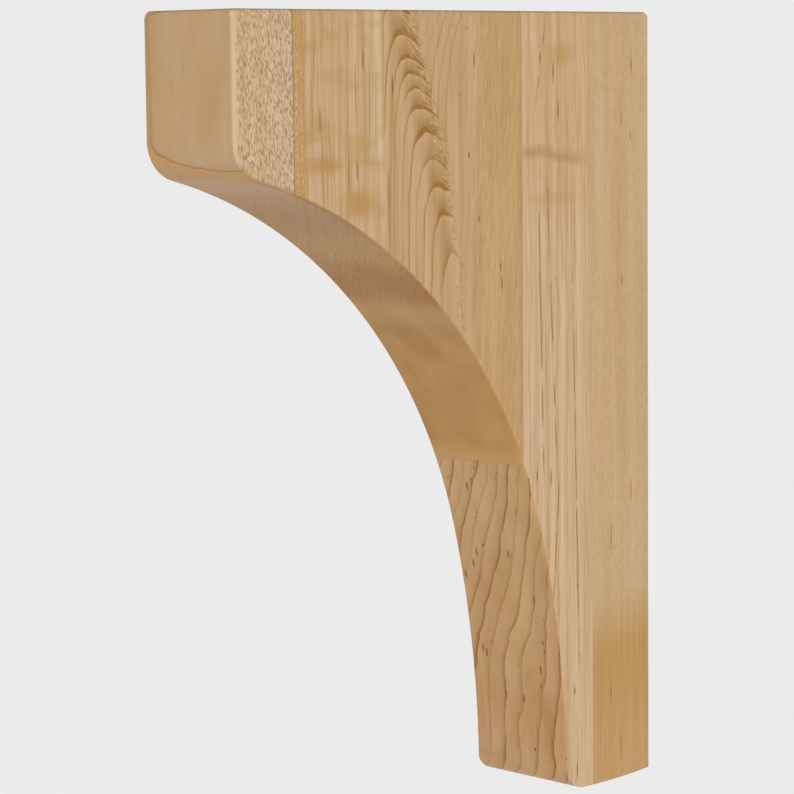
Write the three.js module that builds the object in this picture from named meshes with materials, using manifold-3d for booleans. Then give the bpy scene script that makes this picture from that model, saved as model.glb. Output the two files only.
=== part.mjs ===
// Wooden corbel bracket, a solid maple support that is fixed to a wall and carries a shelf or worktop.
// Five boards stand upright, glued edge to edge into one blank. The blank is sawn to the side profile,
// its long edges are eased, and the foot is cut to length last, so the foot's own edges stay crisp.
// Millimetres, +Z up. The origin is the centre of the back face, which lies on the wall at y = 0.
// The nose points along -Y and the width runs along X.

import * as THREE from 'three';
import { mergeVertices } from 'three/addons/utils/BufferGeometryUtils.js';
import Module from 'manifold-3d';

// Driving dimensions
const width = 57.15; // thickness of the blank, 2 1/4 in
const depth = 254; // wall to the front of the nose, 10 in
const height = 355.6; // 14 in
const noseHeight = 67.5; // top face to where the arch would meet the front, before its corner is rounded
const noseRadius = 17.5; // lower corner of the nose
const archRadius = 233; // the large hollow under the nose
const shankRadius = 469; // the flatter curve that carries the hollow down the leg
const legDepth = 58.8; // wall to the front of the leg, at the foot
const footRadius = 12.5; // front corner of the foot
const footCrownRadius = 450; // the underside of the foot is sanded very slightly round
const footLowPoint = 38; // distance from the wall to the lowest point of that crown
const easeRadius = 2.4; // rounding along both side faces
const topEaseExtra = 0.6; // the two top edges across the width are rounded by this much more
const noseBoard = 32; // widths of the boards in the blank; the middle one takes what the others leave
const shoulderBoard = 51.8;
const legFrontBoard = 45.8;
const wallBoard = 40.5;
const glueLine = 0.1; // film of glue between two boards
const trimAllowance = 16; // spare length of the leg that is sawn off at the foot

// The five boards from the nose to the wall, each with its own tone
const middleBoard = depth - noseBoard - shoulderBoard - legFrontBoard - wallBoard;
const boards = [
  { name: 'nose_board', width: noseBoard, colour: 0xcda881 },
  { name: 'shoulder_board', width: shoulderBoard, colour: 0xc6a06e },
  { name: 'middle_board', width: middleBoard, colour: 0xc7a273 },
  { name: 'leg_front_board', width: legFrontBoard, colour: 0xd0ab7c },
  { name: 'wall_board', width: wallBoard, colour: 0xc9a172 },
];
const roughness = 0.42;

// Facets of each round stretch
const archSteps = 40;
const shankSteps = 12;
const cornerSteps = 10;
const topCornerSteps = 4;
const crownSteps = 8;
const easeSteps = 4;
const samePoint = 1e-5; // points closer than this are one point

// Places worked out from the dimensions; a profile point is (y, z)
const top = height / 2;
const foot = -height / 2;
const topRadius = easeRadius + topEaseExtra;
const shankCentre = new THREE.Vector2(-legDepth - shankRadius, foot);
const archStart = new THREE.Vector2(-depth, top - noseHeight);
const archCentre = circlesMeet(shankCentre, shankRadius - archRadius, archStart, archRadius);
const noseCentre = besideCircle(-depth + noseRadius, archCentre, archRadius + noseRadius);
const crownCentre = new THREE.Vector2(-footLowPoint, foot + footCrownRadius);
const toeCentre = circlesMeet(shankCentre, shankRadius + footRadius, crownCentre, footCrownRadius - footRadius);

// Where two circles cross, on the right of the line from centre a to centre b
function circlesMeet(a, radiusA, b, radiusB) {
  const along = b.clone().sub(a);
  const distance = along.length();
  along.normalize();
  const reach = (distance ** 2 + radiusA ** 2 - radiusB ** 2) / (2 * distance);
  const rise = Math.sqrt(radiusA ** 2 - reach ** 2);
  const right = new THREE.Vector2(along.y, -along.x);
  return a.clone().addScaledVector(along, reach).addScaledVector(right, rise);
}

// The point above a circle's centre that is at a given y and at a given distance from that centre
function besideCircle(y, centre, distance) {
  return new THREE.Vector2(y, centre.y + Math.sqrt(distance ** 2 - (y - centre.x) ** 2));
}

function angleOf(from, to) {
  return Math.atan2(to.y - from.y, to.x - from.x);
}

function arc(centre, radius, start, end, clockwise, steps) {
  return new THREE.EllipseCurve(centre.x, centre.y, radius, radius, start, end, clockwise).getPoints(steps);
}

function outline(points) {
  const kept = points.filter((point, i) => i === 0 || point.distanceTo(points[i - 1]) > samePoint);
  return new THREE.Shape(kept);
}

// A (y, z) outline extruded along X and centred on x = 0, with rounded side edges if ease is not 0
function extrudeAcross(shape, thickness, ease) {
  const geometry = new THREE.ExtrudeGeometry(shape, {
    depth: thickness - 2 * ease,
    steps: 1,
    bevelEnabled: ease > 0,
    bevelThickness: ease,
    bevelSize: ease,
    bevelOffset: -ease,
    bevelSegments: easeSteps,
  });
  geometry.translate(0, 0, -thickness / 2 + ease);
  const turn = new THREE.Matrix4().makeBasis(
    new THREE.Vector3(0, 1, 0),
    new THREE.Vector3(0, 0, 1),
    new THREE.Vector3(1, 0, 0),
  );
  return geometry.applyMatrix4(turn);
}

// The sawn blank: flat top and back, round nose corner, arch, leg, and a spare length below the foot
function blankProfile() {
  const spareEnd = foot - trimAllowance;
  const noseToArch = angleOf(noseCentre, archCentre);
  const archToShank = angleOf(shankCentre, archCentre);
  const frontTop = new THREE.Vector2(-depth + topRadius, top - topRadius);
  const backTop = new THREE.Vector2(-topRadius, top - topRadius);
  return outline([
    ...arc(frontTop, topRadius, Math.PI / 2, Math.PI, false, topCornerSteps),
    ...arc(noseCentre, noseRadius, Math.PI, noseToArch, false, cornerSteps),
    ...arc(archCentre, archRadius, noseToArch + Math.PI, archToShank, true, archSteps),
    ...arc(shankCentre, shankRadius, archToShank, 0, true, shankSteps),
    new THREE.Vector2(-legDepth, spareEnd),
    new THREE.Vector2(0, spareEnd),
    ...arc(backTop, topRadius, 0, Math.PI / 2, false, topCornerSteps),
  ]);
}

// Everything above the foot: its lower side is the rounded toe and the crowned underside
function footTrimProfile() {
  const clear = trimAllowance;
  const toeStart = angleOf(toeCentre, shankCentre);
  const toeEnd = angleOf(crownCentre, toeCentre);
  const crownEnd = Math.asin((clear - crownCentre.x) / footCrownRadius) - Math.PI / 2;
  const toe = arc(toeCentre, footRadius, toeStart, toeEnd, false, cornerSteps);
  return outline([
    new THREE.Vector2(-depth - clear, top + clear),
    new THREE.Vector2(-depth - clear, toe[0].y),
    ...toe,
    ...arc(crownCentre, footCrownRadius, toeEnd, crownEnd, false, crownSteps),
    new THREE.Vector2(clear, top + clear),
  ]);
}

// manifold-3d joins and cuts closed meshes
const wasm = await Module();
wasm.setup();

function toSolid(geometry) {
  const bare = geometry.clone();
  bare.deleteAttribute('normal');
  bare.deleteAttribute('uv');
  const merged = mergeVertices(bare, samePoint);
  const vertProperties = new Float32Array(merged.attributes.position.array);
  const triVerts = new Uint32Array(merged.index.array);
  return new wasm.Manifold(new wasm.Mesh({ numProp: 3, vertProperties, triVerts }));
}

function toGeometry(solid) {
  const { vertProperties, triVerts, numProp } = solid.getMesh();
  const shared = new THREE.BufferGeometry();
  shared.setAttribute('position', new THREE.InterleavedBufferAttribute(
    new THREE.InterleavedBuffer(vertProperties, numProp), 3, 0));
  shared.setIndex(new THREE.BufferAttribute(triVerts, 1));
  const faceted = shared.toNonIndexed();
  faceted.computeVertexNormals();
  return faceted;
}

// The slice of the blank that one board fills, as wide and as tall as clears the blank
function boardSlab(front, back) {
  const slab = new THREE.BoxGeometry(2 * width, back - front, 2 * height);
  return slab.translate(0, (front + back) / 2, 0);
}

const blank = toSolid(extrudeAcross(blankProfile(), width, easeRadius));
const footTrim = toSolid(extrudeAcross(footTrimProfile(), 2 * width, 0));
const bracket = blank.intersect(footTrim);

const corbel = new THREE.Group();
corbel.name = 'wooden_corbel_bracket';

// Each board stops half a glue line short of its neighbour; the outer two slabs run on past the blank
let front = -depth;
boards.forEach((board, i) => {
  const back = front + board.width;
  const slabFront = i === 0 ? front - width : front + glueLine / 2;
  const slabBack = i === boards.length - 1 ? back + width : back - glueLine / 2;
  const solid = bracket.intersect(toSolid(boardSlab(slabFront, slabBack)));
  const material = new THREE.MeshStandardMaterial({ color: board.colour, roughness, metalness: 0 });
  const mesh = new THREE.Mesh(toGeometry(solid), material);
  mesh.name = board.name;
  corbel.add(mesh);
  front = back;
});

export default corbel;
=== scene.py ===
# Wooden corbel bracket, a solid maple support that is fixed to a wall and carries a shelf or worktop.
# Five upright boards are glued edge to edge, sawn to the side profile, eased along the long edges and
# given a satin clear finish. Metres, +Z up, the wall at y = 0, the nose towards -Y, the width along X.

import math

import bpy
from mathutils import Matrix, Vector


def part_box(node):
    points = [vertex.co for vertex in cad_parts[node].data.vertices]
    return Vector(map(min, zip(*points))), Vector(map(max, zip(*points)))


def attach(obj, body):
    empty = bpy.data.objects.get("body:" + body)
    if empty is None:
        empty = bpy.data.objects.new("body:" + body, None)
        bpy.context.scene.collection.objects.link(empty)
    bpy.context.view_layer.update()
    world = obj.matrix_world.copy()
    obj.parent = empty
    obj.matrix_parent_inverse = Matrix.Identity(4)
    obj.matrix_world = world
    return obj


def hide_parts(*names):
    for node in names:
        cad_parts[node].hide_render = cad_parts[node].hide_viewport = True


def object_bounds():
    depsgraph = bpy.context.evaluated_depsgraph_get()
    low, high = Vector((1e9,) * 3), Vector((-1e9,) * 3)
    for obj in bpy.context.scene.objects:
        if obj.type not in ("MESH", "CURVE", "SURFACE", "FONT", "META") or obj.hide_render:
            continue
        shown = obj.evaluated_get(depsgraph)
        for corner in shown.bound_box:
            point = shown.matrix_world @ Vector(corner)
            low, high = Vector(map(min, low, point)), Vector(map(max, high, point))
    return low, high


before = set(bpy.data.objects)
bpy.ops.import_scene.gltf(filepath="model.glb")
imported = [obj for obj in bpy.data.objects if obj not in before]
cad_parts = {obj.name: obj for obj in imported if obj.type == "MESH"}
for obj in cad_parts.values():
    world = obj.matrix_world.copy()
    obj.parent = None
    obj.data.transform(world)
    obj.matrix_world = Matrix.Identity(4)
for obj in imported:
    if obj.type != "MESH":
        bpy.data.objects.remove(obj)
cad_low, cad_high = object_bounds()


# Camera
# A long lens stands to the right of the nose, a little above it, and looks down at the bracket.
# Its place and turn come from fitting the bracket's corners and curves to the picture's outline.
picture_width = 794
lens_pixels = 2911.3  # focal length in pixels of the picture
sensor_width = 36.0
camera_place = Vector((0.91277, -1.02691, 0.15250))
camera_turn = math.radians(45.724)  # to the left of +Y
camera_dip = math.radians(6.407)
camera_lean = math.radians(-0.616)

camera_data = bpy.data.cameras.new("camera")
camera_data.sensor_fit = "HORIZONTAL"
camera_data.sensor_width = sensor_width
camera_data.lens = lens_pixels / picture_width * sensor_width
camera = bpy.data.objects.new("camera", camera_data)
bpy.context.scene.collection.objects.link(camera)
camera.matrix_world = (
    Matrix.Translation(camera_place)
    @ Matrix.Rotation(camera_turn, 4, "Z")
    @ Matrix.Rotation(math.pi / 2 - camera_dip, 4, "X")
    @ Matrix.Rotation(camera_lean, 4, "Z")
)
bpy.context.scene.camera = camera


# Studio
# A plain pale floor lies well below the bracket, which hangs free as it would on its wall. One broad
# light comes from the right, only a little above level, and an even sky fills the shade. The floor
# glows a little, so that it and the sky meet in the same tone and no horizon shows.
class Wire:
    """A value on its way through a node tree. Arithmetic on it adds the Math nodes it needs."""

    def __init__(self, tree, socket):
        self.tree = tree
        self.socket = socket

    def math(self, operation, first, second=0.0):
        return self.tree.out("ShaderNodeMath", {"operation": operation}, {0: first, 1: second})

    def __add__(self, other):
        return self.math("ADD", self, other)

    def __radd__(self, other):
        return self.math("ADD", other, self)

    def __sub__(self, other):
        return self.math("SUBTRACT", self, other)

    def __rsub__(self, other):
        return self.math("SUBTRACT", other, self)

    def __mul__(self, other):
        return self.math("MULTIPLY", self, other)

    def __rmul__(self, other):
        return self.math("MULTIPLY", other, self)

    def __truediv__(self, other):
        return self.math("DIVIDE", self, other)

    def __pow__(self, other):
        return self.math("POWER", self, other)

    def __neg__(self):
        return self.math("MULTIPLY", self, -1.0)

    def root(self):
        return self.math("SQRT", self)

    def floor(self):
        return self.math("FLOOR", self)

    def above(self, other):
        return self.math("MAXIMUM", self, other)

    def rise(self, start, end):
        """0 up to start, 1 from end on, and a smooth slope between them."""
        settings = {"interpolation_type": "SMOOTHSTEP"}
        values = {"Value": self, "From Min": start, "From Max": end}
        return self.tree.out("ShaderNodeMapRange", settings, values)

    def between(self, start, full, fade, end):
        """0 up to start and from end on, 1 from full to fade, and smooth slopes beside them."""
        return self.rise(start, full) * (1 - self.rise(fade, end))


class Tree:
    """A node tree in the making. out() adds any node and gives one of its outputs."""

    def __init__(self, node_tree):
        self.nodes = node_tree.nodes
        self.links = node_tree.links

    def node(self, kind, settings, values):
        made = self.nodes.new(kind)
        for name, value in settings.items():
            setattr(made, name, value)
        for place, value in values.items():
            for part in value if isinstance(value, list) else [value]:
                if isinstance(part, Wire):
                    self.links.new(part.socket, made.inputs[place])
                else:
                    made.inputs[place].default_value = part
        return made

    def out(self, kind, settings, values, output=0):
        return Wire(self, self.node(kind, settings, values).outputs[output])


floor_drop = 1.0  # metres from the foot down to the floor
floor_size = 40.0
floor_tone = 0.831  # the tone of the floor and of the sky in the picture
sky_light = 0.60  # what the sky sends to the bracket
key_strength = 1.48  # the one broad light
key_direction = Vector((0.66, -0.40, 0.22))
key_softness = math.radians(50)
floor_colour = 0.8

floor_mesh = bpy.data.meshes.new("floor")
half = floor_size / 2
floor_height = cad_low[2] - floor_drop
corners = [(-half, -half), (half, -half), (half, half), (-half, half)]
floor_mesh.from_pydata([(x, y, floor_height) for x, y in corners], [], [(0, 1, 2, 3)])
floor = bpy.data.objects.new("floor", floor_mesh)
bpy.context.scene.collection.objects.link(floor)
floor_material = bpy.data.materials.new("pale_floor")
floor_material.use_nodes = True
floor_material.node_tree.nodes.clear()
floor_tree = Tree(floor_material.node_tree)
key_on_floor = key_strength / math.pi * key_direction.normalized().z
floor_glow = floor_tone - floor_colour * (key_on_floor + sky_light)
floor_paint = (floor_colour, floor_colour, floor_colour, 1)
painted = floor_tree.out("ShaderNodeBsdfDiffuse", {}, {"Color": floor_paint})
lit = floor_tree.out("ShaderNodeEmission", {}, {"Color": (1, 1, 1, 1), "Strength": floor_glow})
matt = floor_tree.out("ShaderNodeAddShader", {}, {0: painted, 1: lit})
clear = floor_tree.out("ShaderNodeBsdfTransparent", {}, {})
from_below = floor_tree.out("ShaderNodeNewGeometry", {}, {}, "Backfacing")
one_sided = floor_tree.out("ShaderNodeMixShader", {}, {0: from_below, 1: matt, 2: clear})
floor_tree.node("ShaderNodeOutputMaterial", {}, {"Surface": one_sided})
floor_mesh.materials.append(floor_material)

sky = bpy.data.worlds.new("sky")
sky.use_nodes = True
sky.node_tree.nodes.clear()
sky_tree = Tree(sky.node_tree)
seen = sky_tree.out("ShaderNodeLightPath", {}, {}, "Is Camera Ray")
sky_strength = seen * (floor_tone - sky_light) + sky_light
glow = sky_tree.out("ShaderNodeBackground", {}, {"Color": (1, 1, 1, 1), "Strength": sky_strength})
sky_tree.node("ShaderNodeOutputWorld", {}, {"Surface": glow})
bpy.context.scene.world = sky

key_data = bpy.data.lights.new("key", "SUN")
key_data.energy = key_strength
key_data.angle = key_softness
key = bpy.data.objects.new("key", key_data)
key.rotation_euler = key_direction.to_track_quat("Z", "Y").to_euler()
bpy.context.scene.collection.objects.link(key)
bpy.context.scene.view_settings.view_transform = "Standard"


# Sawing the boards
# The glued blank is sawn to one profile: a flat top and back, a round nose, a deep hollow and a leg
# that runs straight down. Every long edge is eased, and the foot is trimmed last, so its own edges
# stay crisp. Each board is the slice of that one solid between its two glue faces.
mm = 0.001
sizes = {
    "Width": cad_high[0] - cad_low[0],
    "Depth": cad_high[1] - cad_low[1],
    "Height": cad_high[2] - cad_low[2],
    "Nose height": 67.5 * mm,
    "Nose radius": 17.5 * mm,
    "Arch radius": 233 * mm,
    "Shank radius": 469 * mm,
    "Leg depth": 58.8 * mm,
    "Toe radius": 12.5 * mm,
    "Crown radius": 450 * mm,
    "Foot low point": 38 * mm,
    "Ease radius": 2.4 * mm,
    "Top edge radius": 3.0 * mm,
    "Spare length": 16 * mm,
}
board_inputs = ["Board front", "Board back"]

sawing = bpy.data.node_groups.new("Sawing", "GeometryNodeTree")
for name in list(sizes) + board_inputs:
    sawing.interface.new_socket(name, in_out="INPUT", socket_type="NodeSocketFloat")
sawing.interface.new_socket("Finish", in_out="INPUT", socket_type="NodeSocketMaterial")
sawing.interface.new_socket("Board", in_out="OUTPUT", socket_type="NodeSocketGeometry")
saw = Tree(sawing)
given = saw.node("NodeGroupInput", {}, {})
arch_steps = 120
shank_steps = 48
corner_steps = 24
small_steps = 8
crown_steps = 24
same_point = 0.004 * mm
holding_strip = 0.4 * mm  # flat strip beside each eased edge, so that the flats shade flat
crease = math.radians(30)


def size(name):
    return Wire(saw, given.outputs[name])


def angle_of(start, end):
    rise = end[1] - start[1]
    return rise.math("ARCTAN2", rise, end[0] - start[0])


def circles_meet(a, radius_a, b, radius_b):
    """Where two circles cross, on the right of the line from centre a to centre b."""
    along = (b[0] - a[0], b[1] - a[1])
    distance = (along[0] * along[0] + along[1] * along[1]).root()
    reach = (distance * distance + radius_a * radius_a - radius_b * radius_b) / (2 * distance)
    rise = (radius_a * radius_a - reach * reach).root()
    across = (along[0] * reach + along[1] * rise) / distance
    upright = (along[1] * reach - along[0] * rise) / distance
    return a[0] + across, a[1] + upright


def beside_circle(y, centre, distance):
    """The point above a circle's centre at a given y and a given distance from that centre."""
    aside = y - centre[0]
    return y, centre[1] + (distance * distance - aside * aside).root()


def point(y, z, across=0.0):
    return saw.out("ShaderNodeCombineXYZ", {}, {0: y, 1: z, 2: across})


def moved(shape, vector):
    return saw.out("GeometryNodeTransform", {}, {"Geometry": shape, "Translation": vector})


def arc(centre, radius, start, sweep, steps):
    values = {"Resolution": steps + 1, "Radius": radius, "Start Angle": start, "Sweep Angle": sweep}
    curve = saw.out("GeometryNodeCurveArc", {"mode": "RADIUS"}, values)
    return moved(curve, point(*centre))


def line(start, end):
    return saw.out("GeometryNodeCurvePrimitiveLine", {}, {"Start": point(*start), "End": point(*end)})


def joined(shapes):
    mesh = saw.out("GeometryNodeJoinGeometry", {}, {0: shapes})
    return saw.out("GeometryNodeMergeByDistance", {}, {"Geometry": mesh, "Distance": same_point})


def loop(stretches):
    """One closed outline from stretches that meet end to end."""
    edges = [saw.out("GeometryNodeCurveToMesh", {}, {"Curve": stretch}) for stretch in stretches]
    return saw.out("GeometryNodeMeshToCurve", {}, {0: joined(edges)})


def filled(outline):
    return saw.out("GeometryNodeFillCurve", {"mode": "NGONS"}, {"Curve": outline})


def flipped(shape):
    return saw.out("GeometryNodeFlipFaces", {}, {0: shape})


width = size("Width")
top = size("Height") / 2
foot = -top
front = -size("Depth")
leg = -size("Leg depth")
nose_radius = size("Nose radius")
arch_radius = size("Arch radius")
shank_radius = size("Shank radius")
toe_radius = size("Toe radius")
crown_radius = size("Crown radius")
edge_radius = size("Top edge radius")
ease = size("Ease radius")
spare = size("Spare length")
spare_end = foot - spare

shank_centre = (leg - shank_radius, foot)
arch_start = (front, top - size("Nose height"))
arch_centre = circles_meet(shank_centre, shank_radius - arch_radius, arch_start, arch_radius)
nose_centre = beside_circle(front + nose_radius, arch_centre, arch_radius + nose_radius)
nose_to_arch = angle_of(nose_centre, arch_centre)
arch_to_shank = angle_of(shank_centre, arch_centre)
crown_centre = (-size("Foot low point"), foot + crown_radius)
toe_centre = circles_meet(shank_centre, shank_radius + toe_radius, crown_centre, crown_radius - toe_radius)
toe_start = angle_of(toe_centre, shank_centre)
toe_end = angle_of(crown_centre, toe_centre)

quarter = math.pi / 2
arch_sweep = arch_to_shank - nose_to_arch - math.pi
profile = loop([
    arc((front + edge_radius, top - edge_radius), edge_radius, quarter, quarter, small_steps),
    line((front, top - edge_radius), (front, nose_centre[1])),
    arc(nose_centre, nose_radius, math.pi, nose_to_arch + math.pi, corner_steps),
    arc(arch_centre, arch_radius, nose_to_arch + math.pi, arch_sweep, arch_steps),
    arc(shank_centre, shank_radius, arch_to_shank, -arch_to_shank, shank_steps),
    line((leg, foot), (leg, spare_end)),
    line((leg, spare_end), (0.0, spare_end)),
    line((0.0, spare_end), (0.0, top - edge_radius)),
    arc((-edge_radius, top - edge_radius), edge_radius, 0.0, quarter, small_steps),
    line((-edge_radius, top), (front + edge_radius, top)),
])

# The rim is the profile swept with the eased edge on both sides of it
half_width = width / 2
eased_edges = loop([
    line((-ease - holding_strip, -half_width), (-ease, -half_width)),
    arc((-ease, ease - half_width), ease, -quarter, quarter, small_steps),
    line((0.0, ease - half_width), (0.0, ease - half_width + holding_strip)),
    line((0.0, ease - half_width + holding_strip), (0.0, half_width - ease - holding_strip)),
    line((0.0, half_width - ease - holding_strip), (0.0, half_width - ease)),
    arc((-ease, half_width - ease), ease, 0.0, quarter, small_steps),
    line((-ease, half_width), (-ease - holding_strip, half_width)),
])
upright = saw.out("GeometryNodeSetCurveNormal", {"mode": "Z_UP"}, {"Curve": profile})
rim = saw.out("GeometryNodeCurveToMesh", {}, {"Curve": upright, "Profile Curve": eased_edges})
faces_beside = saw.out("GeometryNodeInputMeshEdgeNeighbors", {}, {})
across = saw.out("ShaderNodeSeparateXYZ", {}, {0: saw.out("GeometryNodeInputPosition", {}, {})}, 2)
open_edge = faces_beside.math("LESS_THAN", faces_beside, 1.5) * across.math("GREATER_THAN", across, 0.0)
side_outline = saw.out("GeometryNodeMeshToCurve", {}, {"Mesh": rim, "Selection": open_edge})
side = filled(side_outline)
sides = [moved(side, point(0.0, 0.0, half_width)), flipped(moved(side, point(0.0, 0.0, -half_width)))]
blank = joined([flipped(rim)] + sides)

# Everything above the foot, with the rounded toe and the slightly crowned underside
clear_front = front - spare
toe_bottom = (toe_centre[0] + toe_radius * toe_start.math("COSINE", toe_start),
              toe_centre[1] + toe_radius * toe_start.math("SINE", toe_start))
crown_reach = (spare - crown_centre[0]) / crown_radius
crown_end = crown_reach.math("ARCSINE", crown_reach) - quarter
crown_stop = (crown_centre[0] + crown_radius * crown_end.math("COSINE", crown_end),
              crown_centre[1] + crown_radius * crown_end.math("SINE", crown_end))
above_foot = loop([
    line((clear_front, top + spare), (clear_front, toe_bottom[1])),
    line((clear_front, toe_bottom[1]), toe_bottom),
    arc(toe_centre, toe_radius, toe_start, toe_end - toe_start, corner_steps),
    arc(crown_centre, crown_radius, toe_end, crown_end - toe_end, crown_steps),
    line(crown_stop, (spare, top + spare)),
    line((spare, top + spare), (clear_front, top + spare)),
])
lid = moved(filled(above_foot), point(0.0, 0.0, -width))
wall_values = {"Mesh": lid, "Offset Scale": 2 * width, "Individual": False}
walls = saw.out("GeometryNodeExtrudeMesh", {}, wall_values)
above_foot_solid = joined([walls, flipped(lid)])

board_front = size("Board front")
board_back = size("Board back")
block_size = saw.out("ShaderNodeCombineXYZ", {}, {0: board_back - board_front, 1: 4 * top, 2: 2 * width})
block = saw.out("GeometryNodeMeshCube", {}, {"Size": block_size})
slice_block = moved(block, point((board_front + board_back) / 2, 0.0))
cut_values = {"Mesh 2": [blank, above_foot_solid, slice_block]}
board = saw.out("GeometryNodeMeshBoolean", {"operation": "INTERSECT", "solver": "MANIFOLD"}, cut_values)
stood_up = saw.out("GeometryNodeTransform", {}, {"Geometry": board, "Rotation": (quarter, 0.0, quarter)})
smooth = saw.out("GeometryNodeSetShadeSmooth", {"domain": "FACE"}, {"Geometry": stood_up})
bend = saw.out("GeometryNodeInputMeshEdgeAngle", {}, {})
is_crease = bend.math("GREATER_THAN", bend, crease)
creased_values = {"Geometry": smooth, "Selection": is_crease, "Shade Smooth": False}
creased = saw.out("GeometryNodeSetShadeSmooth", {"domain": "EDGE"}, creased_values)
real = saw.out("GeometryNodeRealizeInstances", {}, {"Geometry": creased})
finished = saw.out("GeometryNodeSetMaterial", {}, {"Geometry": real, "Material": size("Finish")})
saw.node("NodeGroupOutput", {}, {"Board": finished})

glue_film = 0.1 * mm
root_body = "root"


def saw_board(piece_name, node, finish):
    """Saws one board from the blank, as a plain mesh that stands for its CAD node."""
    low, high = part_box(node)
    inputs = dict(sizes)
    inputs["Board front"] = low[1] - glue_film / 2
    inputs["Board back"] = high[1] + glue_film / 2
    inputs["Finish"] = finish
    piece = bpy.data.objects.new(piece_name, bpy.data.meshes.new(piece_name))
    bpy.context.scene.collection.objects.link(piece)
    modifier = piece.modifiers.new("Sawing", "NODES")
    modifier.node_group = sawing
    for socket in sawing.interface.items_tree:
        if socket.in_out == "INPUT":
            modifier[socket.identifier] = inputs[socket.name]
    evaluated = piece.evaluated_get(bpy.context.evaluated_depsgraph_get())
    plain = bpy.data.meshes.new_from_object(evaluated)
    piece.modifiers.remove(modifier)
    piece.data = plain
    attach(piece, root_body)
    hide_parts(node)


# Nose board
# The narrow maple board at the tip, glued to the shoulder board behind it. Its growth rings lie almost
# flat to the front, so its sides are cut on the quarter and show a dense lace of ray fleck, while the
# front stays plain. Like the other boards it has a clear satin finish.
class Maple(Tree):
    """One board's wood. Its figure is worked out in millimetres, right through the solid."""

    side_light = 1.1  # how much of its tone the lit side face gives back
    side_gloss = 0.015  # and how much its gloss adds
    half_width = 28.6  # from the middle of the bracket to a side face

    def __init__(self, name, node):
        self.material = bpy.data.materials.new(name)
        self.material.use_nodes = True
        self.material.node_tree.nodes.clear()
        super().__init__(self.material.node_tree)
        place = self.out("ShaderNodeTexCoord", {}, {}, "Object")
        self.place = self.out("ShaderNodeVectorMath", {"operation": "SCALE"}, {0: place, "Scale": 1 / mm})
        self.x = self.out("ShaderNodeSeparateXYZ", {}, {0: self.place}, "X")
        self.y = self.out("ShaderNodeSeparateXYZ", {}, {0: self.place}, "Y")
        self.z = self.out("ShaderNodeSeparateXYZ", {}, {0: self.place}, "Z")
        aside = self.x.math("ABSOLUTE", self.x)
        at_top = self.z.rise(174.4, 175.2)
        # The boards are given paler tones on their side faces and darker, more golden ones on their front
        # and hollow faces. This is partly the different cut of the wood and partly painted shade, with a
        # warm cast, on the faces turned from the key light.
        self.side = aside.rise(27.9, 28.5).above(aside.rise(25.8, 26.4) * at_top)  # 1 on the side faces
        self.eased = aside.rise(26.4, 27.2) * (1 - self.side)  # 1 on the eased edges beside them
        low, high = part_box(node)
        self.front_glue = low[1] / mm
        self.back_glue = high[1] / mm

    def tone(self, red, green, blue):
        """The wood's own colour where the lit side face shows this tone."""
        linear = (((part / 255 + 0.055) / 1.055) ** 2.4 for part in (red, green, blue))
        return (*((part - self.side_gloss) / self.side_light for part in linear), 1.0)

    def noise(self, x, y, z, detail=2.0):
        """Soft noise about 0.5, with one blotch for each unit along each axis."""
        place = self.out("ShaderNodeCombineXYZ", {}, {0: x, 1: y, 2: z})
        return self.out("ShaderNodeTexNoise", {}, {"Vector": place, "Scale": 1.0, "Detail": detail})

    def mix(self, amount, first, second):
        return self.out("ShaderNodeMix", {"data_type": "RGBA"}, {0: amount, 6: first, 7: second}, 2)

    def bright(self, colour, amount):
        return self.out("ShaderNodeVectorMath", {"operation": "SCALE"}, {0: colour, "Scale": amount})

    def fibres(self, width, length, shift, detail=2.0):
        """Streaks along the grain, fine across whichever face they show on."""
        on_side = self.noise(self.x / 25.0 + shift, self.y / width, self.z / length, detail)
        on_edge = self.noise(self.x / width, self.y / 25.0 + shift, self.z / length, detail)
        return on_edge + (on_side - on_edge) * self.side

    def rings(self, depth, spacing, late, shift=0.0):
        """Growth rings: each darkens over its late share and then ends sharply, some more than others."""
        count = depth / spacing + shift
        ring = count.floor()
        share = (count - ring - (1 - late)) / late
        weight = self.out("ShaderNodeTexWhiteNoise", {"noise_dimensions": "1D"}, {"W": ring})
        return share.above(0.0) ** 1.6 * (0.3 + 0.7 * weight)

    def mark(self, place, reach):
        """A small dark mark in the wood, 1 in its middle and 0 at its reach."""
        offset = self.out("ShaderNodeVectorMath", {"operation": "SUBTRACT"}, {0: self.place, 1: place})
        scaled = self.out("ShaderNodeVectorMath", {"operation": "DIVIDE"}, {0: offset, 1: reach})
        settings = {"operation": "LENGTH"}
        return 1 - self.out("ShaderNodeVectorMath", settings, {0: scaled}, "Value").rise(0.2, 1.0)

    def dashes(self, places):
        """Short mineral dashes on the side face, each given as (y, z, half its length)."""
        found = 0.0
        for y, z, reach in places:
            found = found + self.mark((self.half_width, y, z), (4.0, 0.7, reach))
        return found

    def long_threads(self, lines):
        """Dark threads up the side face, each given as its y at z = 0, lean, lower z and upper z."""
        found = 0.0
        for y, lean, low, high in lines:
            away = self.y - y - self.z * lean
            ends = self.z.between(low - 8.0, low + 8.0, high - 8.0, high + 8.0)
            found = found + (1 - away.math("ABSOLUTE", away).rise(0.15, 0.75)) * ends
        return found * self.side

    def glue(self, plane, strength):
        """The film of glue shows as a hair line where two boards meet."""
        away = self.y - plane
        return (1 - away.math("ABSOLUTE", away).rise(0.1, 0.5)) * strength

    def flecks(self, places, reach):
        """Small dark marks at these places of the front or the hollow."""
        found = 0.0
        for place in places:
            found = found + self.mark(place, reach)
        return found

    def tinted(self, colour, shift):
        """Broad streaks that turn a little pinker or a little more golden."""
        hue = self.fibres(5.0, 90.0, shift) - 0.5
        balance = self.out("ShaderNodeCombineXYZ", {}, {0: 1 + 0.07 * hue, 1: 1.0, 2: 1 + 0.32 * hue})
        return self.out("ShaderNodeVectorMath", {"operation": "MULTIPLY"}, {0: colour, 1: balance})

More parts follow.
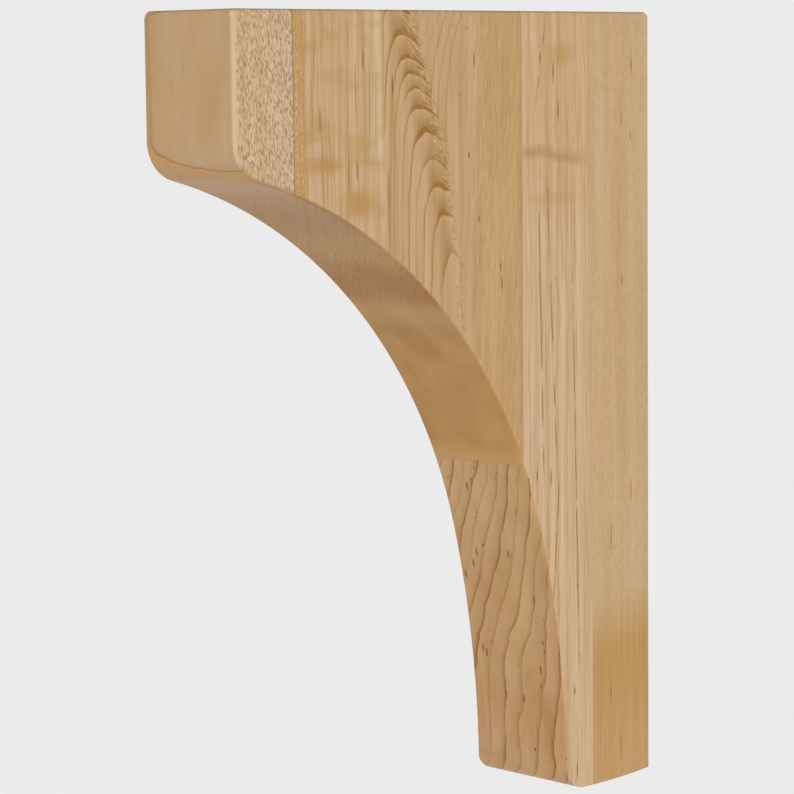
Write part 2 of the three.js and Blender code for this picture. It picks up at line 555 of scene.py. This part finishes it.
    def satin(self, colour, grain):
        """Clear satin finish over the colour, with the fibres just felt under it, and painted shade along
        the top edge.
        """
        # Painted shade darkens the top edge, where the end grain also takes more finish than the faces do,
        # and the eased edges are made a little darker.
        end_grain_and_top_shade = self.z.rise(176.8, 177.5)  # it drinks more finish than the faces do
        colour = self.bright(colour, 1 - 0.3 * end_grain_and_top_shade - 0.08 * self.eased)
        bump_values = {"Strength": 0.12, "Distance": 0.05 * mm, "Height": grain}
        normal = self.out("ShaderNodeBump", {}, bump_values)
        values = {"Base Color": colour, "Roughness": 0.46 + 0.08 * (grain - 0.5), "Normal": normal}
        values["Specular IOR Level"] = 0.15
        surface = self.out("ShaderNodeBsdfPrincipled", {}, values)
        self.node("ShaderNodeOutputMaterial", {}, {"Surface": surface})
        return self.material


nose = Maple("nose_maple", "nose_board")
fine = nose.fibres(1.2, 30.0, 1.0)
broad = nose.fibres(9.0, 60.0, 1.0)
cloud = nose.noise(nose.x / 16.0, nose.y / 16.0, nose.z / 26.0)
clouding = broad + cloud * 1.9 - 0.95
front_wood = nose.mix(clouding, nose.tone(200, 161, 115), nose.tone(207, 173, 134))
side_wood = nose.mix((broad - 0.3) * 2.2, nose.tone(216, 183, 146), nose.tone(231, 202, 170))

# The lace of ray fleck, as the walls of tall narrow cells that lean a little
cell_width = 0.76
cell_height = 5.2
lean = nose.y + 0.15 * nose.z
sway = nose.noise(nose.x / 9.0, nose.y / 3.0, nose.z / 3.0)
cell_parts = {0: nose.x / 4.0, 1: (lean + sway) / cell_width, 2: nose.z / cell_height}
cell_values = {"Vector": nose.out("ShaderNodeCombineXYZ", {}, cell_parts), "Scale": 1.0}
cell_edge = nose.out("ShaderNodeTexVoronoi", {"feature": "DISTANCE_TO_EDGE"}, cell_values, "Distance")
lace = 1 - cell_edge.rise(0.03, 0.28)
patchy = nose.noise(nose.x / 4.0, lean / cell_width, nose.z / 2.2, 1.0)
fleck = lace * (0.44 + 2.1 * (patchy - 0.45)) + 0.3 * (patchy - 0.5)
side_wood = nose.mix(nose.y.rise(-235.0, -226.0) * 0.5, side_wood, nose.tone(218, 194, 168))
side_wood = nose.mix(fleck * nose.y.rise(-253.4, -251.8), side_wood, nose.tone(158, 122, 78))
# Painted highlight: the near eased edge of the nose is painted pale above the hollow, where the key light
# would catch it.
painted_edge_highlight = nose.eased * nose.x.rise(0.0, 1.0) * nose.z.rise(110.0, 118.0)
front_wood = nose.mix(painted_edge_highlight * 0.9, front_wood, nose.tone(227, 197, 163))
colour = nose.mix(nose.side, front_wood, side_wood)
# Painted shade: where the front of the nose turns under, it is painted darker and more golden.
under = (1 - nose.z.rise(106.0, 117.0)) * (1 - nose.side)
colour = nose.mix(under, colour, nose.tone(191, 149, 108))

# One growth ring comes out where the front turns under, with a golden band behind it
late_wood = (150, 104, 56)
ring_place = 4.8  # from the front face
bow = ((nose.x - 22.0) / 47.0) ** 2.0
ring_depth = nose.y - nose.front_glue + 4.8 * bow + 1.4 * (broad - 0.5) - ring_place
ring = ring_depth.between(-0.7, 0.0, 0.0, 0.3) * (1 - nose.side)
ring = ring * (0.4 + 0.6 * nose.x.rise(-27.0, -20.0))
colour = nose.mix(ring * 0.6, colour, nose.tone(*late_wood))
under_ring = ring_depth.between(0.0, 0.6, 1.0, 5.5)
colour = nose.mix(under_ring * (1 - nose.side) * 0.5, colour, nose.tone(208, 158, 90))
hair_places = [(-2.9, -254.0, 154.0), (-10.1, -254.0, 146.6), (-17.3, -251.0, 114.5)]
hairs = nose.flecks(hair_places, (0.6, 4.0, 4.0))
colour = nose.mix(hairs * 0.35, colour, nose.tone(150, 106, 62))
seam = nose.glue(nose.back_glue, 0.2 + 0.4 * nose.side)
colour = nose.mix(seam, colour, nose.tone(132, 92, 50))
saw_board("maple_nose", "nose_board", nose.satin(colour, fine))


# Shoulder board
# Straight-grained maple, glued between the nose board and the middle board. It is cut between the flat
# and the quarter, so that its fine lines run up the side and down over the hollow, with soft bands of
# curl across them.
shoulder = Maple("shoulder_maple", "shoulder_board")
fine = shoulder.fibres(0.9, 40.0, 3.0, 3.0)
broad = shoulder.fibres(3.4, 110.0, 3.0)
grain = (fine - 0.5) * 1.3 + (broad - 0.5) * 1.2 + 0.5
side_wood = shoulder.mix(grain, shoulder.tone(190, 153, 107), shoulder.tone(219, 188, 151))
hollow_grain = 0.5 + 0.4 * (grain - 0.5)
hollow_wood = shoulder.mix(hollow_grain, shoulder.tone(166, 124, 78), shoulder.tone(186, 143, 98))
sheen_band = shoulder.z.between(66.0, 74.0, 78.0, 90.0)
hollow_wood = shoulder.mix(sheen_band * 0.35, hollow_wood, shoulder.tone(206, 168, 122))
near_nose = 1 - shoulder.y.rise(-222.0, -185.0)
hollow_wood = shoulder.mix(near_nose * 0.6, hollow_wood, shoulder.tone(190, 150, 116))
colour = shoulder.mix(shoulder.side, hollow_wood, side_wood)

# Fine rings and threads, at about 45 degrees to the side
wander = shoulder.noise(shoulder.x / 20.0, shoulder.y / 20.0, shoulder.z / 70.0)
rift = 0.694 * shoulder.x + 0.711 * shoulder.y + 3.0 * (wander - 0.5)
ring = shoulder.rings(rift, 2.6, 0.4)
threads = shoulder.noise(rift / 0.8, rift / 30.0, shoulder.z / 45.0, 2.0).rise(0.54, 0.74)
colour = shoulder.mix(ring * 0.2 + threads * 0.6, colour, shoulder.tone(152, 110, 56))

# A golden strip beside the nose, a pale one at the back, and curl
golden = 1 - (shoulder.y - shoulder.front_glue).rise(4.0, 9.0)
mottle = shoulder.noise(shoulder.x / 4.0, shoulder.y / 0.8, shoulder.z / 1.8, 1.0)
colour = shoulder.mix(golden * (0.5 + 3.2 * (mottle - 0.5)), colour, shoulder.tone(186, 146, 80))
pale_back = shoulder.y.between(-177.5, -174.5, -172.6, -171.4) * shoulder.z.rise(96.0, 126.0)
colour = shoulder.mix(pale_back * 0.5 * shoulder.side, colour, shoulder.tone(226, 198, 166))
curl = shoulder.noise(shoulder.x / 30.0 + 2.0, shoulder.y / 22.0, shoulder.z / 11.0, 2.0)
colour = shoulder.mix(curl.rise(0.46, 0.7) * 0.5, colour, shoulder.tone(186, 146, 84))
patch = shoulder.mark((shoulder.half_width, -184.6, 97.0), (8.0, 12.0, 10.0))
patch = patch + shoulder.mark((shoulder.half_width, -205.0, 114.0), (8.0, 13.0, 5.0))
colour = shoulder.mix(patch * 0.55, colour, shoulder.tone(184, 138, 78))
dashes = shoulder.dashes([(-207.4, 132.0, 9.0), (-182.5, 157.0, 8.0), (-186.7, 111.0, 6.0)])
colour = shoulder.mix(dashes * 0.7, colour, shoulder.tone(140, 96, 44))
colour = shoulder.tinted(colour, 21.0)
seam = shoulder.glue(shoulder.front_glue, 0.5 * shoulder.side)
colour = shoulder.mix(seam, colour, shoulder.tone(150, 108, 56))
saw_board("maple_shoulder", "shoulder_board", shoulder.satin(colour, fine))


# Middle board
# The widest maple board, glued between the shoulder and the leg. Its rings rise through it at a slant,
# so the side shows a flame of nested arches that steps down towards the wall, with a feathered edge on
# its right and straight grain beyond it.
middle = Maple("middle_maple", "middle_board")
fine = middle.fibres(0.9, 40.0, 5.0, 3.0)
broad = middle.fibres(6.0, 120.0, 5.0)
grain = (fine - 0.5) * 0.9 + (broad - 0.5) * 1.2 + 0.5
side_wood = middle.mix(grain, middle.tone(182, 144, 98), middle.tone(214, 180, 140))
cloud = middle.noise(middle.x / 22.0, middle.y / 22.0, middle.z / 30.0)
hollow_grain = 0.5 + 0.4 * (grain - 0.5) + 1.8 * (cloud - 0.5)
hollow_low = middle.mix(hollow_grain, middle.tone(179, 133, 81), middle.tone(200, 154, 98))
hollow_top = middle.mix(hollow_grain, middle.tone(164, 118, 72), middle.tone(188, 145, 96))
hollow_wood = middle.mix(middle.z.rise(20.0, 60.0), hollow_low, hollow_top)
warm_band = middle.z.between(48.0, 56.0, 64.0, 74.0)
hollow_wood = middle.mix(warm_band * 0.4, hollow_wood, middle.tone(174, 125, 80))
sheen_band = middle.z.between(36.0, 45.0, 47.0, 55.0) + middle.z.between(66.0, 74.0, 78.0, 90.0)
hollow_wood = middle.mix(sheen_band * 0.35, hollow_wood, middle.tone(206, 168, 122))
light_end = 1 - middle.z.rise(-24.0, -14.0)
hollow_wood = middle.mix(light_end * 0.5, hollow_wood, middle.tone(212, 172, 112))
colour = middle.mix(middle.side, hollow_wood, side_wood)

# The flame. Its arches have their tops on a line that leans towards the wall and then turns upright,
# and each arch is a hyperbola: its left arm runs straight down and its right arm falls at a slant.
highest_apex = -160.1  # place of the line at the top of the flame
flame_top = 168.0
apex_slope = 1 / 3
apex_stop = -129.5  # where the line stands upright
apex_turn = 20.0  # how softly it turns
apex_curve = 12.0
falling_side = 0.5
arch_spacing = 3.75
wander = middle.noise(middle.x / 16.0, middle.y / 16.0, middle.z / 30.0)
hollow_wave = middle.noise(middle.x / 11.0, middle.y / 11.0 + 3.0, middle.z / 8.0) * (1 - middle.side)
across = middle.y + (middle.x - middle.half_width) + 2.5 * (wander - 0.5) + 9.0 * hollow_wave
slanted = highest_apex + apex_slope * (flame_top - middle.z)
past = slanted - apex_stop
apex = (slanted + apex_stop - (past * past + apex_turn).root()) * 0.5
beside = across - apex
tilt = (1 - falling_side) / (1 + falling_side)
aside = beside + apex_curve * tilt / (1 - tilt * tilt) ** 0.5
reach = (aside * aside + apex_curve ** 2).root()
arms = (aside - reach) * 0.5 - falling_side * 0.5 * (aside + reach)
flame = apex + arms + apex_curve * falling_side ** 0.5
feather_slant = middle.z + 0.8 * middle.y
feather = middle.noise(middle.x / 9.0, feather_slant / 0.9, (middle.y - middle.z) / 5.0, 1.0)
edge = beside - 3.5 - 5.0 * middle.z.rise(82.0, 112.0) - 9.0 * (feather - 0.5)
in_flame = 1 - edge.rise(-0.6, 0.6)
flutter = middle.noise(middle.x / 9.0, middle.y / 6.0, middle.z / 10.0, 1.0)
crowded = 1.3 * flame.rise(-158.5, -149.5)  # the arches stand closer here
ring_count = (flame + 1.3 * (flutter - 0.5)) / arch_spacing + crowded + 0.68
late = middle.rings(ring_count, 1.0, 1.0)
ring = middle.rings(ring_count, 1.0, 0.34)
round_apex = beside.rise(-9.0, -1.0)
arm = middle.noise(middle.x / 12.0, middle.y / 6.0, middle.z / 14.0)
fill = late.root() * round_apex * 0.95 + ring * (0.3 + 1.5 * arm)
plain_hollow = (1 - middle.side) * (1 - middle.z.rise(44.0, 58.0))
colour = middle.mix(in_flame * fill * (1 - plain_hollow), colour, middle.tone(160, 117, 62))
fringe = beside.rise(0.5, 4.5) * (1 - edge.rise(0.0, 3.5)) * middle.side
colour = middle.mix(feather.rise(0.5, 0.66) * fringe * 0.55, colour, middle.tone(160, 116, 62))
colour = middle.mix((1 - feather.rise(0.34, 0.46)) * fringe * 0.5, colour, middle.tone(218, 184, 140))

# Straight grain beyond the flame, which bends over near the top and leans near the leg
bend = (middle.z - 134.0).above(0.0) / 42.0
straight = across - 10.0 * bend * bend
straight_end = 1 - straight.rise(-131.0, -118.0)
straight_ring = middle.rings(straight, 4.6, 0.4) * straight_end * (1 - plain_hollow)
drift = middle.noise(middle.x / 20.0, (middle.y - 0.15 * middle.z) / 7.0, middle.z / 50.0, 1.0)
leaning = middle.rings(across - 0.12 * middle.z + 6.0 * (drift - 0.5), 3.1, 0.4)
leaning = leaning * straight.rise(-126.0, -116.0) * middle.side
colour = middle.mix(leaning * 0.28, colour, middle.tone(160, 118, 62))
colour = middle.mix((1 - in_flame) * straight_ring * 0.5, colour, middle.tone(156, 116, 66))
mottle = middle.noise(middle.x / 3.0, (middle.y - 0.12 * middle.z) / 1.0, middle.z / 8.0, 3.0)
plain_side = middle.y.rise(-122.0, -112.0) * middle.side
colour = middle.bright(colour, 1.0 + 0.75 * plain_side * (mottle - 0.5))
near_leg = middle.y.rise(-122.0, -102.0) * middle.side
colour = middle.mix(near_leg * 0.35, colour, middle.tone(193, 152, 92))
pale_strip = middle.y.between(-134.0, -131.0, -128.0, -125.0) * (1 - middle.z.rise(130.0, 150.0))
colour = middle.mix(pale_strip * 0.25 * middle.side, colour, middle.tone(216, 184, 148))
band = middle.y.between(-169.6, -168.6, -167.6, -166.4) * middle.z.between(62.0, 100.0, 100.0, 118.0)
colour = middle.mix(band * 0.7, colour, middle.tone(172, 130, 76))
spots = middle.dashes([
    (-128.8, 171.5, 1.0),
    (-120.2, 170.2, 1.5),
    (-125.5, 142.0, 1.0),
    (-120.6, 136.3, 1.0),
    (-125.0, 129.5, 1.0),
])
long_dashes = middle.dashes([
    (-116.0, 156.5, 5.0),
    (-119.6, 115.6, 2.5),
    (-113.7, 87.6, 2.5),
    (-99.4, 58.8, 4.5),
    (-165.6, 146.0, 6.5),
    (-100.2, 66.0, 3.0),
])
colour = middle.mix(spots * 0.45 + long_dashes * 0.8, colour, middle.tone(130, 88, 40))
hook = middle.flecks([(0.0, -160.0, 68.4), (-3.5, -157.0, 66.2), (-9.0, -152.5, 62.6)], (2.6, 3.4, 3.0))
colour = middle.mix(hook * 0.35, colour, middle.tone(150, 106, 66))
colour = middle.tinted(colour, 31.0)
seam = middle.glue(middle.back_glue, 0.1 + 0.25 * middle.side)
colour = middle.mix(seam, colour, middle.tone(150, 110, 60))
saw_board("maple_middle", "middle_board", middle.satin(colour, fine))


# Leg front board
# Maple that runs the full height and is the front of the leg, glued to the board on either side. Wide
# rings cross its front as wavy dark lines with small dark flecks. The side shows straight pale grain
# and a few long dark threads.
leg_front = Maple("leg_front_maple", "leg_front_board")
fine = leg_front.fibres(0.9, 80.0, 7.0, 3.0)
broad = leg_front.fibres(4.0, 250.0, 7.0)
grain = (fine - 0.5) * 1.3 + (broad - 0.5) * 1.5 + 0.55
side_wood = leg_front.mix(grain, leg_front.tone(191, 156, 113), leg_front.tone(223, 192, 160))
cloud = leg_front.noise(leg_front.x / 14.0, leg_front.y / 14.0, leg_front.z / 30.0)
front_grain = 0.3 * grain + 1.7 * cloud - 0.42
front_low = leg_front.mix(front_grain, leg_front.tone(188, 144, 96), leg_front.tone(211, 171, 125))
front_top = leg_front.mix(front_grain, leg_front.tone(192, 152, 102), leg_front.tone(214, 173, 128))
front_wood = leg_front.mix(leg_front.z.rise(-100.0, -40.0), front_low, front_top)
threads = leg_front.fibres(0.8, 50.0, 9.0, 1.0).rise(0.60, 0.76) * leg_front.side
side_wood = leg_front.mix(threads * 0.55, side_wood, leg_front.tone(162, 116, 50))
gold_cloud = leg_front.noise(leg_front.x / 30.0, leg_front.y / 14.0, leg_front.z / 16.0)
golden = leg_front.z.rise(78.0, 96.0) * gold_cloud
side_wood = leg_front.mix(golden * 0.6, side_wood, leg_front.tone(196, 156, 102))
colour = leg_front.mix(leg_front.side, front_wood, side_wood)

# The rings, which cross the front at a slant and fan out a little upwards, with flecks along them
ring_spacing = 5.3
ring_shift = 0.47
wave = leg_front.noise(leg_front.x / 26.0, leg_front.y / 26.0, leg_front.z / 34.0, 1.0)
ripple = leg_front.noise(leg_front.x / 12.0, leg_front.y / 12.0, leg_front.z / 9.0)
fan = 0.003 * (leg_front.half_width - leg_front.x) * (leg_front.z + 110.0).above(0.0)
rift = 0.507 * leg_front.x + 0.862 * leg_front.y - fan + 5.6 * (wave - 0.5) + 1.6 * (ripple - 0.5)
along = leg_front.noise(leg_front.x / 10.0, leg_front.y / 10.0 + 7.0, leg_front.z / 16.0)
ring = leg_front.rings(rift, ring_spacing, 0.26, ring_shift) * (1.8 * along - 0.1)
shading = leg_front.rings(rift, ring_spacing, 1.0, ring_shift) * (1 - leg_front.side)
ring = ring + 0.36 * shading
colour = leg_front.mix(ring * (1 - 0.5 * leg_front.side), colour, leg_front.tone(*late_wood))
specks = leg_front.noise(leg_front.x / 1.5, leg_front.y / 1.5 + 3.0, leg_front.z / 4.0, 1.0)
near_ring = leg_front.rings(rift, ring_spacing, 0.45, 0.5).rise(0.0, 0.3)
fleck = specks.rise(0.68, 0.76) * near_ring * (1 - 0.6 * leg_front.side)
colour = leg_front.mix(fleck, colour, leg_front.tone(132, 84, 44))
large_fleck_places = [
    (-18.8, -70.2, -75.2),
    (-15.5, -71.4, -69.7),
    (-25.0, -68.8, -81.4),
    (4.9, -71.8, -68.3),
    (16.8, -67.3, -88.8),
    (-17.8, -62.6, -118.4),
    (-20.0, -62.6, -116.5),
    (16.0, -62.1, -122.2),
    (3.8, -60.5, -137.4),
    (-12.1, -80.9, -37.5),
]
large_flecks = leg_front.flecks(large_fleck_places, (1.0, 2.8, 3.2))
colour = leg_front.mix(large_flecks * 0.9, colour, leg_front.tone(146, 92, 50))

# Curl crosses the side in one dark line and two soft patches
curl_sway = leg_front.noise(leg_front.x / 40.0, leg_front.y / 14.0, 0.0)
curl_line = 114.0
curl_height = leg_front.z - curl_line + 5.0 * (curl_sway - 0.5) + 0.12 * (leg_front.y + 66.0)
curl = curl_height.between(-4.0, 0.0, 0.0, 5.0)
curl = curl * (1 - leg_front.y.rise(-56.0, -38.0)) * leg_front.side
colour = leg_front.mix(curl * 0.55, colour, leg_front.tone(176, 132, 80))
patch = leg_front.mark((leg_front.half_width, -61.0, 159.0), (8.0, 14.0, 8.0))
patch = patch + 0.6 * leg_front.mark((leg_front.half_width, -66.0, 95.0), (8.0, 24.0, 5.0))
colour = leg_front.mix(patch * 0.5, colour, leg_front.tone(188, 144, 88))
dashes = leg_front.dashes([
    (-74.1, 157.1, 4.0),
    (-65.6, 150.9, 7.0),
    (-62.4, 133.6, 7.0),
    (-68.2, -31.3, 6.0),
    (-77.3, -29.4, 4.0),
    (-50.6, -83.1, 4.0),
    (-52.7, -131.7, 3.0),
    (-51.2, -169.0, 6.0),
])
colour = leg_front.mix(dashes * 0.85, colour, leg_front.tone(134, 94, 42))
worn = leg_front.noise(leg_front.x / 30.0, leg_front.y / 10.0, leg_front.z / 12.0)
long_threads = leg_front.long_threads([
    (-65.3, -0.045, -20.0, 106.0),
    (-101.7, 0.18, 138.0, 172.0),
    (-60.2, 0.075, -150.0, -30.0),
    (-73.5, -0.02, -30.0, 90.0),
    (-52.0, -0.02, -120.0, 60.0),
])
long_threads = long_threads * worn.rise(0.3, 0.6)
colour = leg_front.mix(long_threads * 0.8, colour, leg_front.tone(156, 112, 46))
pale_strip = 1 - (leg_front.y - leg_front.front_glue).rise(1.0, 3.0)
colour = leg_front.mix(pale_strip * leg_front.side * 0.25, colour, leg_front.tone(220, 188, 152))
colour = leg_front.tinted(colour, 41.0)
seam = leg_front.glue(leg_front.front_glue, 0.1 + 0.2 * leg_front.side)
colour = leg_front.mix(seam, colour, leg_front.tone(160, 120, 70))
saw_board("maple_leg_front", "leg_front_board", leg_front.satin(colour, fine))


# Wall board
# The plain straight-grained maple board that lies flat on the wall, glued to the leg's front board. A
# small pebbled figure crosses it, and it turns more golden towards the foot.
wall = Maple("wall_maple", "wall_board")
fine = wall.fibres(0.9, 60.0, 11.0, 3.0)
broad = wall.fibres(8.0, 160.0, 11.0)
pebble = wall.noise(wall.x / 3.0, wall.y / 1.5, wall.z / 2.5, 3.0)
grain = (fine - 0.5) * 0.5 + (broad - 0.5) * 1.0 + (pebble - 0.5) * 0.9 + 0.55
colour = wall.mix(grain, wall.tone(188, 152, 106), wall.tone(212, 180, 142))
cloud = wall.noise(wall.x / 30.0, wall.y / 30.0, wall.z / 30.0)
golden = 1 - (wall.z + 24.0 * (cloud - 0.5) - 0.12 * (wall.y + 20.0)).rise(-120.0, -84.0)
golden = golden * (0.6 + 0.3 * wall.z.rise(-170.0, -125.0))
golden_wood = wall.mix(0.5 + 1.6 * (fine - 0.5), wall.tone(176, 132, 72), wall.tone(202, 160, 102))
colour = wall.mix(golden, colour, golden_wood)
dashes = wall.dashes([
    (-13.4, -42.7, 9.0),
    (-27.5, -63.2, 12.0),
    (-27.8, -136.1, 8.0),
    (-20.9, -162.4, 9.0),
    (-19.9, 130.1, 5.0),
    (-12.9, 153.7, 7.0),
    (-13.7, 121.8, 4.0),
    (-19.5, 55.5, 4.0),
])
colour = wall.mix(dashes * 0.7, colour, wall.tone(156, 110, 58))
colour = wall.tinted(colour, 51.0)
saw_board("maple_wall", "wall_board", wall.satin(colour, fine))
